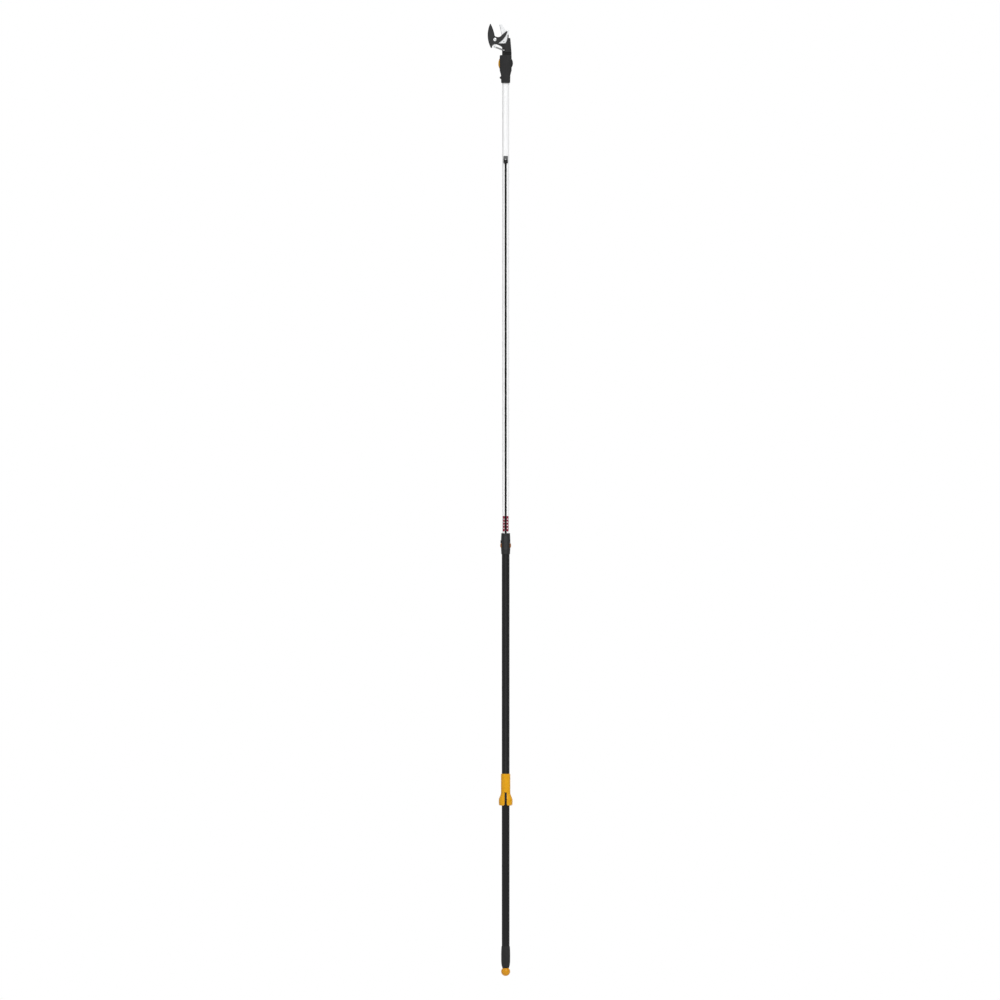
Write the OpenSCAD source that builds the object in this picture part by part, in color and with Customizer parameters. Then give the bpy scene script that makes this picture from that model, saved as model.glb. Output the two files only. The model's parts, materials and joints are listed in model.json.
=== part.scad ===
// Telescopic tree pruner pole with a tilting hook head, drawn fully extended.
// Millimetres. +Z runs up the pole and -Y is the side with the strap.
// The origin is on the pole's axis, in the middle of the end grip's hand hold.

/* [Lower tube] */
// Outside diameter of the lower tube
lower_od = 32.5; // [30:0.5:36]
// Wall of the lower tube
lower_wall = 1.5; // [1.3:0.1:2]
// Length of lower tube seen between the end grip and the collar
lower_visible = 1642; // [1600:1:2000]
// Depth of the flat that the strap lies on
strap_flat = 0.55; // [0.4:0.05:0.7]
// Number of flutes along the lower tube
flutes = 8; // [4:2:8]
// Width of one flute
flute_w = 2; // [1:0.5:3]
// Depth of one flute
flute_depth = 0.4; // [0.2:0.1:0.6]

/* [Upper tube] */
// Radial gap between the upper and the lower tube
tube_gap = 0.35; // [0.3:0.05:0.6]
// Wall of the upper tube
upper_wall = 1.6; // [1.2:0.1:2]
// Length of upper tube seen between the collar and the head housing
upper_visible = 1886; // [1850:1:2200]
// Length of upper tube kept inside the collar and the lower tube
upper_overlap = 189; // [160:1:200]
// Width of the strap groove
groove_w = 9.4; // [9:0.1:10]
// Depth of the strap groove
groove_depth = 2.2; // [2:0.1:2.6]
// Wall of the channel under the strap groove
channel_wall = 1.2; // [1:0.1:1.6]

/* [Strap] */
// Width of the strap
strap_w = 8; // [6:0.5:8.5]
// Thickness of the strap
strap_t = 1.6; // [1:0.1:1.8]
// Thickness of the lower stretch, which is pressed flat under the slider
strap_low_t = 0.9; // [0.6:0.1:1]
// Height of the strap guide
guide_len = 31; // [28:1:44]
// Width of the strap guide
guide_w = 19; // [16:0.5:22]
// How far the strap guide stands off the tube
guide_proud = 4; // [3:0.5:6]
// Distance from the top of the strap guide to the head housing
guide_to_housing = 306; // [250:1:340]

/* [Collar] */
// Height of the collar
collar_len = 88; // [82:1:100]
// Radius of the collar at its ends
collar_end_r = 18.6; // [18:0.1:19]
// Radius of the collar at its waist
collar_mid_r = 19.8; // [19.6:0.1:21]
// Depth of the lower tube in the collar
collar_socket = 22; // [18:1:26]
// Height of a release button
button_h = 17; // [14:1:20]
// Width of a release button
button_w = 18; // [14:0.5:20]
// Distance from the pole's axis to the outer face of a release button
button_reach = 23; // [22.5:0.5:25]
// Travel of a release button
button_travel = 2.2; // [1.5:0.1:2.4]
// Half width of the raised pad on the collar's front
pad_half = 7.5; // [6:0.5:9]
// How far the pad stands off the collar's waist
pad_proud = 0.9; // [0.5:0.1:1.5]
// Radius of the boss above the left button
boss_r = 6; // [4:0.5:6]
// Distance from the pole's axis to the outer face of the boss
boss_reach = 21.8; // [21:0.1:23]

/* [Slider] */
// Height of the slider handle
slider_len = 133; // [120:1:160]
// Height of the flared bulb at the foot of the slider
slider_bulb_h = 54; // [48:1:60]
// Height of the widest part of the bulb
slider_belly = 22; // [18:1:28]
// Radius of the slider's sleeve
slider_r = 19.6; // [19.2:0.1:21]
// Radius of the slider's bulb
slider_bulb_r = 29; // [27:0.5:31]
// Wall of the liner
liner_wall = 1; // [0.8:0.1:1.2]
// Width of the slot in the front of the slider
slider_slot_w = 9.5; // [9:0.5:11]
// Width of the notch at the foot of the slot
slider_notch_w = 17; // [13:0.5:20]
// Height of the notch at the foot of the slot
slider_notch_h = 10; // [6:0.5:12]
// Height of the slider's foot above the end grip
slider_height = 589; // [400:1:700]

/* [End grip and ball] */
// Length of the hand hold of the end grip
grip_len = 88; // [80:1:110]
// Radius of the end grip at its waist
grip_r = 18.8; // [18.2:0.1:21]
// Height of the rim round the pull ball
grip_rim_h = 4; // [3:0.5:6]
// Radius of the end grip at its rim
grip_rim_r = 14; // [13.5:0.25:15]
// Depth of the lower tube in the end grip
grip_socket = 62; // [50:1:66]
// Radius of the pull ball
ball_r = 19; // [16:0.5:22]
// Distance from the rim to the middle of the pull ball
ball_drop = 14.4; // [14.2:0.1:16]
// Radius of the pull cord
cord_r = 2; // [1.5:0.25:2.5]

/* [Head housing] */
// Distance from the foot of the housing to the tilt axis
housing_drop = 83; // [78:1:95]
// Height of the cheeks above the tilt axis
cheek_top = 33.5; // [30:0.5:35]
// Half width of the housing at the tilt axis
cheek_half = 25; // [24:0.5:26]
// Half width of the housing at its foot
housing_foot_half = 19; // [18.5:0.1:20]
// Half depth of the housing
housing_half_depth = 17; // [16.5:0.5:19]
// Depth of the fork below the tilt axis
fork_depth = 45; // [42:1:46]
// Radius of the trunnions
trunnion_r = 6; // [5:0.5:7]

/* [Head arm] */
// Radius of the tilt disc
disc_r = 30.6; // [29:0.2:32]
// Half thickness of the tilt disc
tongue_half = 8; // [7.5:0.1:8.5]
// Gap between the tilt disc and each cheek
cheek_gap = 0.3; // [0.3:0.05:0.5]
// Height above the tilt axis where the arm grows thicker
arm_foot = 45; // [44:1:48]
// Height of the arm's top above the tilt axis
arm_top = 105.5; // [100:0.5:110]
// Length of the stop for the open blade, above the arm's top
stop_len = 14; // [8:0.5:18]
// Front face of the arm, measured from the middle plane
arm_front_y = 12; // [10:0.5:13]
// Back face of the arm, measured from the middle plane
arm_rear_y = 13; // [12.8:0.1:15]

/* [Cutting head] */
// Thickness of the hook plate
hook_t = 5; // [4:0.5:6]
// Thickness of the blade
blade_t = 4; // [3:0.5:4.5]
// Gap between the blade and its neighbours
blade_gap = 0.3; // [0.3:0.05:0.4]
// Shank radius of the pivot bolt
pivot_r = 4; // [3:0.5:5]
// Thickness of the pull link
link_t = 3; // [2:0.5:3]
// Half width of the pull link
link_half = 3.5; // [3:0.5:4]

/* [Fits] */
// Radial clearance of a turning pin
run_fit = 0.05; // [0.02:0.01:0.1]
// Radial clearance of a fixed pin or screw
seat_fit = 0.02; // [0.01:0.01:0.05]
// Clearance between pieces that slide past each other
slide_gap = 0.3; // [0.25:0.05:0.5]

/* [Hidden] */
$fn = 64;
eps = 0.5;

// Radii of the two tubes
lower_r = lower_od/2;
lower_ir = lower_r - lower_wall;
upper_r = lower_ir - tube_gap;
upper_ir = upper_r - upper_wall;

// Heights along the pole, from the end grip upwards
grip_top = grip_len/2;
grip_foot = -grip_len/2;
grip_end = grip_foot - grip_rim_h;
ball_z = grip_end - ball_drop;
plug_len = 44;
ferrule_r = 6;
ferrule_h = 3;
ball_cap = 0.5;
cord_hole_r = cord_r + 1;
lower_z0 = grip_top - grip_socket;
collar_z0 = grip_top + lower_visible;
collar_top = collar_z0 + collar_len;
lower_len = collar_z0 + collar_socket - lower_z0;
housing_z0 = collar_top + upper_visible;
tilt_z = housing_z0 + housing_drop;
slider_z0 = grip_top + slider_height;
guide_z0 = housing_z0 - guide_to_housing - guide_len;
upper_z0 = collar_top - upper_overlap;
tube_stop = fork_depth + 3;
upper_len = tilt_z - tube_stop - upper_z0;
foot_bush_h = 6;
foot_plug_h = 12;
foot_bore_r = 9;
strap_floor = upper_r - groove_depth;
strap_bend_z = guide_z0 + 5;
strap_bend_h = 25;
window_h = 12;
guide_screw_z = guide_z0 + guide_len - 14;
guide_screw_r = 1.6;
guide_head_r = 2.6;

// Collar: the pocket that holds the buttons lies between the lower tube and the bush
pocket_r = collar_mid_r - 1.3;
pocket_z0 = collar_z0 + collar_socket;
button_z = pocket_z0 + button_h/2 + 6;
pocket_z1 = button_z + button_h/2 + 8;
boss_z = button_z + button_h/2 + boss_r + 1;
pad_z0 = collar_z0 + collar_socket + 2;
pad_z1 = collar_top - pad_half - 12;
bush_r = upper_r + 2.4;
bush_top = collar_top - 3;
collar_screw_r = 2;
ear_over = 2;
button_in_r = upper_r + slide_gap + button_travel + 0.2;
ear_t = 1;
button_round = 16;
button_crown = 24;
groove_cut = 1;

// Slider: the liner runs on the lower tube
liner_ir = lower_r + slide_gap;
liner_r = liner_ir + liner_wall;
clamp_t = 3.2;
clamp_len = 30;
strap_low_y = lower_r - strap_flat;

// Cutting head: places are measured from the tilt axis, in the view from the front
hook_half = hook_t/2;
blade_y0 = hook_half + blade_gap;
blade_y1 = blade_y0 + blade_t;
link_y0 = blade_y1 + blade_gap;
link_y1 = link_y0 + link_t;
pivot = [-45, 99];
pivot_head_r = 7;
pivot_head_h = 3;
spacer_r = 6;
spacer_flange_r = 10;
spacer_end_y = link_y1 + 6;
nut_r = 7.5;
nut_h = 5;
tail = [-46.5, 69];
tail_r = 6;
tail_pin_r = 2.5;
tail_head_r = 4;
strap_entry = [10, 48];
link_len = 42;
link_end = tail + link_len*(strap_entry - tail)/norm(strap_entry - tail);
link_pin_r = 2;
spring_pin_at = [-7.5, 90.5];
spring_pin_r = 2.5;
lever_pivot = [-9.5, 27];
lever_pin_r = 2;
lever_half = tongue_half - slide_gap;
lever_eye_half = 4.7;
lever_eye_r = 4.5;
lever_rib_r = 0.7;
pulley_at = [5.5, 38];
pulley_r = 5;
pulley_flange_r = pulley_r + 1.4;
pulley_pin_r = 2;
strap_half = strap_w/2;
pulley_half = strap_half + 0.3;
core_half = strap_half + 0.6;
arm_screw_at = [[14, 54], [-3, 74], [10, 74]];
arm_screw_r = 1.8;
arm_head_r = 3.2;
arm_left = -15;
arm_right = 24.7;
arm_mid_x = 5;
hook_seat_z = 75.5;
drill = 40;
arm_crown = 40;
stop_x = 10.2;
stop_half = 2.15;
housing_crown = 60;
cheek_round = 4;
cheek_in = cheek_round*(1 - cos(45));
housing_screw_at = [[-16.7, -74], [16.7, -74], [16.7, -54]];
housing_screw_r = 1.3;
housing_head_r = 2.4;
bump_at = [-housing_foot_half - 0.9, -60.5];
bump_r = 5.2;
bump_half = 8;

// Angle from 0 to 360
function wrap(a) = a < 0 ? a + 360 : a;

// Twice the signed area of the triangle a, b, c
function turn(a, b, c) = (b[0] - a[0])*(c[1] - b[1]) - (b[1] - a[1])*(c[0] - b[0]);

// Centre of the circle through three points
function centre3(a, b, c) =
    let (d = 2*(a[0]*(b[1] - c[1]) + b[0]*(c[1] - a[1]) + c[0]*(a[1] - b[1])))
    [
        ((a*a)*(b[1] - c[1]) + (b*b)*(c[1] - a[1]) + (c*c)*(a[1] - b[1]))/d,
        ((a*a)*(c[0] - b[0]) + (b*b)*(a[0] - c[0]) + (c*c)*(b[0] - a[0]))/d
    ];

// Points along the circular arc from a to c by way of b
function arc3(a, b, c, steps = 10) =
    let (u = centre3(a, b, c))
    let (r = norm(a - u))
    let (start = atan2(a[1] - u[1], a[0] - u[0]))
    let (stop = atan2(c[1] - u[1], c[0] - u[0]))
    let (sweep = turn(a, b, c) > 0 ? wrap(stop - start) : -wrap(start - stop))
    [for (i = [0:steps]) u + r*[cos(start + sweep*i/steps), sin(start + sweep*i/steps)]];

// Outline drawn in the front view and given a thickness from y0 to y1
module plate(y0, y1) {
    translate([0, y1, 0])
        rotate([90, 0, 0])
            linear_extrude(y1 - y0)
                children();
}

// Round pin or hole along Y at a place in the front view
module pin_y(at, r, y0, y1) {
    translate([at[0], y1, at[1]])
        rotate([90, 0, 0])
            cylinder(r = r, h = y1 - y0);
}

// Everything on the head is placed from the tilt axis
module on_head() {
    translate([0, 0, tilt_z])
        children();
}

// Half space in front of or behind the middle plane, for splitting a moulding
module half(side, z0, h) {
    reach = 60;
    translate([-reach, side < 0 ? -reach : 0, z0])
        cube([2*reach, reach, h]);
}

// Lower tube

module lower_tube() {
    color("#2f3032")
        translate([0, 0, lower_z0])
            difference() {
                cylinder(r = lower_r, h = lower_len);
                translate([0, 0, -eps])
                    cylinder(r = lower_ir, h = lower_len + 2*eps);
                translate([-lower_r, -lower_od, -eps])
                    cube([lower_od, lower_od - strap_low_y, lower_len + 2*eps]);
                for (i = [0:flutes - 1])
                    rotate(-90 + (i + 0.5)*360/flutes)
                        translate([lower_r - flute_depth, -flute_w/2, -eps])
                            cube([2*flute_depth, flute_w, lower_len + 2*eps]);
            }
}

// Collar

function collar_profile() = concat(
    [[0, 0]],
    arc3([collar_end_r - 1.5, 0], [collar_end_r - 0.4, 0.4], [collar_end_r, 1.5], 4),
    arc3([collar_end_r, 6], [collar_mid_r, collar_len*0.45], [collar_end_r, collar_len - 6], 12),
    arc3([collar_end_r, collar_len - 1.5], [collar_end_r - 0.4, collar_len - 0.4],
        [collar_end_r - 1.5, collar_len], 4),
    [[0, collar_len]]
);

// Outline of the raised pad, with round ends, in the front view
module collar_pad() {
    translate([-pad_half, pad_z0])
        square([2*pad_half, pad_z1 - pad_z0]);
    for (z = [pad_z0, pad_z1])
        translate([0, z])
            circle(r = pad_half);
}

module collar_body() {
    difference() {
        union() {
            translate([0, 0, collar_z0])
                rotate_extrude()
                    polygon(collar_profile());
            intersection() {
                translate([0, 0, collar_z0])
                    cylinder(r = collar_mid_r + pad_proud, h = collar_len);
                plate(-2*collar_mid_r, -collar_mid_r/2)
                    collar_pad();
            }
            translate([0, 0, boss_z])
                rotate([0, -90, 0])
                    cylinder(r = boss_r, h = boss_reach);
        }
        translate([0, 0, collar_z0 - eps])
            cylinder(r = lower_r + seat_fit, h = collar_socket + eps);
        translate([0, 0, pocket_z0 - 0.01])
            cylinder(r = pocket_r, h = pocket_z1 - pocket_z0 + 0.01);
        translate([0, 0, pocket_z1 - 0.01])
            cylinder(r = bush_r + seat_fit, h = bush_top - pocket_z1 + 0.01);
        translate([0, 0, pocket_z1])
            cylinder(r = upper_r + 2*slide_gap, h = collar_top - pocket_z1 + eps);
        translate([-button_reach - eps, -button_w/2 - slide_gap, button_z - button_h/2 - slide_gap])
            cube([2*(button_reach + eps), button_w + 2*slide_gap, button_h + 2*slide_gap]);
        translate([-groove_w/2, -strap_low_y - 2*strap_low_t, collar_z0 - eps])
            cube([groove_w, 3*strap_low_t, 14 + eps]);
    }
}

module collar_front() {
    color("#2b2c2e")
        intersection() {
            collar_body();
            half(-1, collar_z0 - eps, collar_len + 2*eps);
        }
}

// Places of the two screws in the back of the collar
module collar_screw_places() {
    for (a = [55, 125])
        translate([0, 0, collar_z0 + collar_socket/2])
            rotate(a)
                rotate([0, 90, 0])
                    children();
}

module collar_rear() {
    color("#2b2c2e")
        difference() {
            intersection() {
                collar_body();
                half(1, collar_z0 - eps, collar_len + 2*eps);
            }
            collar_screw_places()
                translate([0, 0, lower_r - 1])
                    cylinder(r = collar_screw_r + seat_fit, h = collar_end_r - lower_r + 2);
        }
}

module collar_screws() {
    color("#8d8f92")
        collar_screw_places()
            translate([0, 0, lower_r + slide_gap])
                cylinder(r = collar_screw_r, h = collar_end_r - lower_r - slide_gap);
}

module collar_bush() {
    color("#1c1c1d")
        difference() {
            translate([0, 0, pocket_z1])
                cylinder(r = bush_r, h = bush_top - pocket_z1);
            translate([0, 0, pocket_z1 - eps])
                cylinder(r = upper_r + run_fit, h = collar_len);
        }
}

module button_spring() {
    leaf_t = 0.5;
    leaf_w = 8;
    leaf_r = button_in_r - 0.1;
    leaf_gap = 10;
    color("#b9bcc0")
        translate([0, 0, button_z])
            difference() {
                cylinder(r = leaf_r, h = leaf_w, center = true);
                cylinder(r = leaf_r - leaf_t, h = 2*leaf_w, center = true);
                translate([-leaf_gap/2, 0, -leaf_w])
                    cube([leaf_gap, 2*leaf_r, 2*leaf_w]);
            }
}

// Button on the +X side: a face block with two ears behind the collar's wall
module button() {
    intersection() {
        difference() {
            union() {
                translate([0, -button_w/2, button_z - button_h/2])
                    cube([button_reach, button_w, button_h]);
                intersection() {
                    translate([0, -button_w/2, button_z - button_h/2 - ear_over])
                        cube([button_reach, button_w, button_h + 2*ear_over]);
                    translate([0, 0, button_z - button_h])
                        cylinder(r = button_in_r + ear_t, h = 2*button_h);
                }
            }
            translate([0, 0, button_z - button_h])
                cylinder(r = button_in_r, h = 2*button_h);
        }
        translate([button_reach - button_round, 0, button_z - button_h])
            cylinder(r = button_round, h = 2*button_h);
        translate([0, button_w, button_z])
            rotate([90, 0, 0])
                translate([button_reach - button_crown, 0, 0])
                    cylinder(r = button_crown, h = 2*button_w);
    }
}

// Grooves across the face of a button, for the fingers
module button_grooves() {
    for (z = [-button_h/4, 0, button_h/4])
        translate([button_reach - groove_cut, -button_w, button_z + z - groove_cut/2])
            cube([2*groove_cut, 2*button_w, groove_cut]);
}

module button_right() {
    color("#e6872a")
        difference() {
            button();
            button_grooves();
        }
}

module button_left() {
    color("#e6872a")
        mirror([1, 0, 0])
            difference() {
                button();
                button_grooves();
            }
}

// End grip and plug

function grip_profile() = concat(
    [[0, grip_end], [grip_rim_r - 0.5, grip_end]],
    arc3([grip_rim_r, grip_end + 0.5], [grip_r - 1.5, grip_foot + 10], [grip_r, grip_foot + 25], 10),
    arc3([grip_r, grip_foot + 36], [grip_r - 0.2, grip_top - 20], [grip_r - 1, grip_top - 3], 8),
    [[grip_r - 1.8, grip_top], [0, grip_top]]
);

module end_grip() {
    color("#3c3d40")
        difference() {
            rotate_extrude()
                polygon(grip_profile());
            translate([0, 0, lower_z0])
                cylinder(r = lower_r + seat_fit, h = grip_socket + eps);
            translate([0, 0, grip_end - eps])
                cylinder(r = cord_hole_r, h = grip_len);
            translate([0, 0, ball_z])
                sphere(r = ball_r + slide_gap);
            translate([0, 0, ball_z])
                cylinder(r = ferrule_r + 2*slide_gap, h = ball_r - ball_cap + ferrule_h + slide_gap);
        }
}

module end_plug() {
    color("#1c1c1d")
        difference() {
            translate([0, 0, lower_z0])
                cylinder(r = lower_ir - run_fit, h = plug_len);
            translate([0, 0, lower_z0 - eps])
                cylinder(r = cord_hole_r, h = plug_len + 2*eps);
        }
}

// Upper tube

module upper_tube() {
    channel_w = groove_w + 2*channel_wall;
    channel_depth = groove_depth + channel_wall;
    color("#e6e8ea")
        difference() {
            translate([0, 0, upper_z0])
                cylinder(r = upper_r, h = upper_len);
            difference() {
                translate([0, 0, upper_z0 - eps])
                    cylinder(r = upper_ir, h = upper_len + 2*eps);
                translate([-channel_w/2, -upper_r, upper_z0 - 2*eps])
                    cube([channel_w, channel_depth, upper_len + 4*eps]);
            }
            translate([-groove_w/2, -2*upper_r, upper_z0 - eps])
                cube([groove_w, upper_r + groove_depth, upper_len + 2*eps]);
            translate([-groove_w/2, -upper_r, strap_bend_z - 3])
                cube([groove_w, upper_r/2, window_h]);
            translate([0, 0, guide_screw_z])
                rotate([90, 0, 0])
                    cylinder(r = guide_screw_r, h = upper_r);
        }
}

module foot_bush() {
    color("#1c1c1d")
        difference() {
            union() {
                translate([0, 0, upper_z0 - foot_bush_h])
                    cylinder(r = lower_ir - run_fit, h = foot_bush_h);
                translate([0, 0, upper_z0 - 1])
                    cylinder(r = upper_ir - seat_fit, h = foot_plug_h + 1);
            }
            translate([0, 0, upper_z0 - 2*foot_bush_h])
                cylinder(r = foot_bore_r, h = 2*(foot_bush_h + foot_plug_h));
            translate([-upper_r/2, -upper_r - 1, upper_z0])
                cube([upper_r, groove_depth + channel_wall + 1.2, foot_plug_h + 1]);
        }
}

// Strap: down the groove below the guide, and through the groove's floor behind it
module strap() {
    outer = strap_floor + strap_t;
    inner = strap_floor;
    half_t = strap_t/2;
    z_top = strap_bend_z + strap_bend_h;
    route = [
        [-outer, upper_z0 + 4], [-inner, upper_z0 + 4], [-inner, strap_bend_z],
        [half_t, z_top - 1], [half_t, z_top], [-half_t, z_top], [-outer, strap_bend_z + 1.5]
    ];
    color("#1d1d1e")
        rotate([90, 0, 90])
            translate([0, 0, -strap_half])
                linear_extrude(strap_w)
                    polygon(route);
}

// Quarter twist inside the upper tube, which turns the strap edge on for the head
module strap_inner() {
    z0 = strap_bend_z + strap_bend_h;
    color("#1d1d1e")
        translate([0, 0, z0])
            linear_extrude(tilt_z - tube_stop - z0, twist = 90, slices = 24, $fn = 8)
                square([strap_w, strap_t], center = true);
}

module strap_guide() {
    color("#3a3b3d")
        difference() {
            intersection() {
                translate([0, 0, guide_z0])
                    cylinder(r = upper_r + guide_proud, h = guide_len);
                plate(-2*upper_r, 0)
                    polygon(concat(
                        arc3([-guide_w/2, guide_z0 + 5], [-guide_w/2 + 1.5, guide_z0 + 1.5],
                            [-guide_w/2 + 5, guide_z0], 5),
                        arc3([guide_w/2 - 5, guide_z0], [guide_w/2 - 1.5, guide_z0 + 1.5],
                            [guide_w/2, guide_z0 + 5], 5),
                        arc3([guide_w/2, guide_z0 + guide_len - 3],
                            [guide_w/2 - 0.9, guide_z0 + guide_len - 0.9],
                            [guide_w/2 - 3, guide_z0 + guide_len], 4),
                        arc3([-guide_w/2 + 3, guide_z0 + guide_len],
                            [-guide_w/2 + 0.9, guide_z0 + guide_len - 0.9],
                            [-guide_w/2, guide_z0 + guide_len - 3], 4)
                    ));
            }
            translate([0, 0, guide_z0 - eps])
                cylinder(r = upper_r + seat_fit, h = guide_len + 2*eps);
            translate([0, 0, guide_screw_z])
                rotate([90, 0, 0])
                    cylinder(r = guide_head_r + seat_fit, h = 2*upper_r);
        }
}

module guide_screw() {
    color("#c9ccd0")
        translate([0, 0, guide_screw_z])
            rotate([90, 0, 0]) {
                translate([0, 0, upper_r - groove_depth - channel_wall])
                    cylinder(r = guide_screw_r - seat_fit, h = groove_depth + channel_wall + 1);
                translate([0, 0, upper_r])
                    cylinder(r = guide_head_r, h = guide_proud);
            }
}

// Head housing: a tube socket with two cheeks round the tilt disc

function housing_profile() = concat(
    arc3([-housing_foot_half, -housing_drop + 4], [-housing_foot_half + 1.2, -housing_drop + 1.2],
        [-housing_foot_half + 4, -housing_drop], 5),
    arc3([housing_foot_half - 4, -housing_drop], [housing_foot_half - 1.2, -housing_drop + 1.2],
        [housing_foot_half, -housing_drop + 4], 5),
    [[housing_foot_half + 0.8, -fork_depth - 4], [cheek_half, -30]],
    arc3([cheek_half, cheek_top - cheek_round], [cheek_half - cheek_in, cheek_top - cheek_in],
        [cheek_half - cheek_round, cheek_top], 6),
    arc3([-cheek_half + cheek_round, cheek_top], [-cheek_half + cheek_in, cheek_top - cheek_in],
        [-cheek_half, cheek_top - cheek_round], 6),
    [[-cheek_half, -30], [-housing_foot_half - 0.8, -fork_depth - 4]]
);

module housing_body() {
    fork_half = tongue_half + cheek_gap;
    difference() {
        union() {
            intersection() {
                plate(-housing_half_depth, housing_half_depth)
                    polygon(housing_profile());
                translate([0, housing_crown - housing_half_depth, -2*housing_drop])
                    cylinder(r = housing_crown, h = 4*housing_drop);
                translate([0, housing_half_depth - housing_crown, -2*housing_drop])
                    cylinder(r = housing_crown, h = 4*housing_drop);
            }
            pin_y(bump_at, bump_r, -bump_half, bump_half);
        }
        translate([-2*cheek_half, -fork_half, -fork_depth])
            cube([4*cheek_half, 2*fork_half, 2*housing_drop]);
        translate([0, 0, -housing_drop - eps])
            cylinder(r = upper_r + seat_fit, h = housing_drop - tube_stop + eps);
        translate([0, 0, -tube_stop - eps])
            cylinder(r = upper_ir - 3, h = tube_stop);
        pin_y([0, 0], trunnion_r + seat_fit, -housing_half_depth + 2, housing_half_depth - 2);
        for (at = housing_screw_at)
            pin_y(at, housing_screw_r + seat_fit, -10, housing_half_depth);
        for (at = housing_screw_at)
            pin_y(at, housing_head_r + seat_fit, 9, housing_half_depth);
    }
}

module housing_front() {
    color("#2a2b2c")
        on_head()
            intersection() {
                housing_body();
                half(-1, -2*housing_drop, 4*housing_drop);
            }
}

module housing_rear() {
    color("#2a2b2c")
        on_head()
            intersection() {
                housing_body();
                half(1, -2*housing_drop, 4*housing_drop);
            }
}

module housing_screws() {
    color("#8d8f92")
        on_head()
            for (at = housing_screw_at) {
                pin_y(at, housing_screw_r, -9.5, 10);
                pin_y(at, housing_head_r, 9.3, 11.5);
            }
}

module trunnions() {
    color("#b9bcc0")
        on_head() {
            pin_y([0, 0], trunnion_r, -housing_half_depth + 2.2, -core_half - 0.2);
            pin_y([0, 0], trunnion_r, core_half + 0.2, housing_half_depth - 2.2);
        }
}

// Head arm: two half shells with the tilt disc between the cheeks

function arm_profile() = concat(
    [[arm_right, arm_foot], [19.7, arm_top - 2.5], [18.2, arm_top], [8, arm_top]],
    arc3([6.6, arm_top - 2], [4.4, arm_top - 12], [-1, arm_top - 22], 8),
    [[arm_left, arm_top - 23.2], [arm_left, arm_foot]]
);

module tongue() {
    circle(r = disc_r);
    translate([arm_left, 0])
        square([arm_right - arm_left, arm_foot + 1]);
}

// Room for the lever to be pressed in
module lever_pocket() {
    boundary = concat(
        [[-4, 60], [-4, 20.5]],
        arc3([-4, 20.5], [-13.6, 2], [-5.6, -22.5], 8),
        [[-4, -40], [-60, -40], [-60, 60]]
    );
    plate(-20, 20)
        intersection() {
            polygon(boundary);
            translate([-60, -40])
                square([60, 58]);
        }
    plate(-lever_eye_half - slide_gap, lever_eye_half + slide_gap)
        intersection() {
            polygon(boundary);
            translate([-60, 16])
                square([60, 20]);
        }
}

// Hollow in the arm for the link, the strap and the pulley
module arm_core() {
    plate(-core_half, core_half)
        polygon([[-4.5, -60], [4.5, -60], [12, 20], [14, 64], [-30, 64], [-30, 46], [-6, 46]]);
    plate(-core_half, link_y1 + slide_gap)
        polygon([[13, 45.4], [13, 64], [-30, 64], [-30, 45.4]]);
    plate(blade_y1, link_y1 + slide_gap)
        polygon([[13, 45.4], [13, 60], [-4, 73], [-30, 73], [-30, 45.4]]);
    plate(-20, core_half)
        polygon([[-30, 47], [-8, 47], [-3, 50], [-3, 57], [-8, 60.5], [-30, 60.5]]);
}

module arm_body() {
    difference() {
        union() {
            intersection() {
                plate(-arm_front_y, 0)
                    polygon(arm_profile());
                translate([arm_mid_x, arm_crown - arm_front_y, 0])
                    cylinder(r = arm_crown, h = 2*arm_top);
            }
            plate(0, arm_rear_y)
                intersection() {
                    polygon(arm_profile());
                    translate([-60, 0])
                        square([120, hook_seat_z]);
                }
            plate(-tongue_half, tongue_half)
                tongue();
        }
        plate(-hook_half, hook_half)
            polygon([[-60, 60], [16.2, 64.5], [16.2, 83.7], [-60, 83.7]]);
        plate(-hook_half, drill)
            translate([-60, hook_seat_z])
                square([120, 2*arm_top]);
        lever_pocket();
        arm_core();
        pin_y([0, 0], trunnion_r + run_fit, -drill, drill);
        pin_y(lever_pivot, lever_pin_r + seat_fit, -drill, drill);
        pin_y(pulley_at, pulley_pin_r + seat_fit, -tongue_half + 1, tongue_half - 1);
        pin_y(pulley_at, pulley_r + 2, -core_half, core_half);
        for (at = arm_screw_at)
            pin_y(at, arm_screw_r + seat_fit, -arm_front_y + 3, drill);
        for (at = arm_screw_at)
            pin_y(at, arm_head_r + seat_fit, arm_rear_y - 2.2, drill);
    }
}

// Stop for the open blade: a tab with a round top
function stop_outline() = concat(
    [[stop_x - stop_half, arm_top - 4], [stop_x + stop_half, arm_top - 4]],
    arc3([stop_x + stop_half, arm_top + stop_len - stop_half], [stop_x, arm_top + stop_len],
        [stop_x - stop_half, arm_top + stop_len - stop_half], 8)
);

module arm_front() {
    color("#2a2b2c")
        on_head()
            intersection() {
                union() {
                    arm_body();
                    plate(-arm_front_y + 3, -hook_half)
                        polygon(stop_outline());
                }
                half(-1, -60, 300);
            }
}

module arm_rear() {
    color("#2a2b2c")
        on_head()
            intersection() {
                arm_body();
                half(1, -60, 300);
            }
}

module arm_screws() {
    color("#8d8f92")
        on_head()
            for (at = arm_screw_at) {
                pin_y(at, arm_screw_r, -arm_front_y + 3.2, arm_rear_y - 2);
                pin_y(at, arm_head_r, arm_rear_y - 2.1, arm_rear_y + 0.3);
            }
}

function lever_back() = arc3([-12, 33.5], [-30.8, 1], [-20, -30], 14);

function lever_outline() = concat(
    lever_back(),
    arc3([-15.5, -25], [-21.5, -1], [-7, 21], 12)
);

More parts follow.
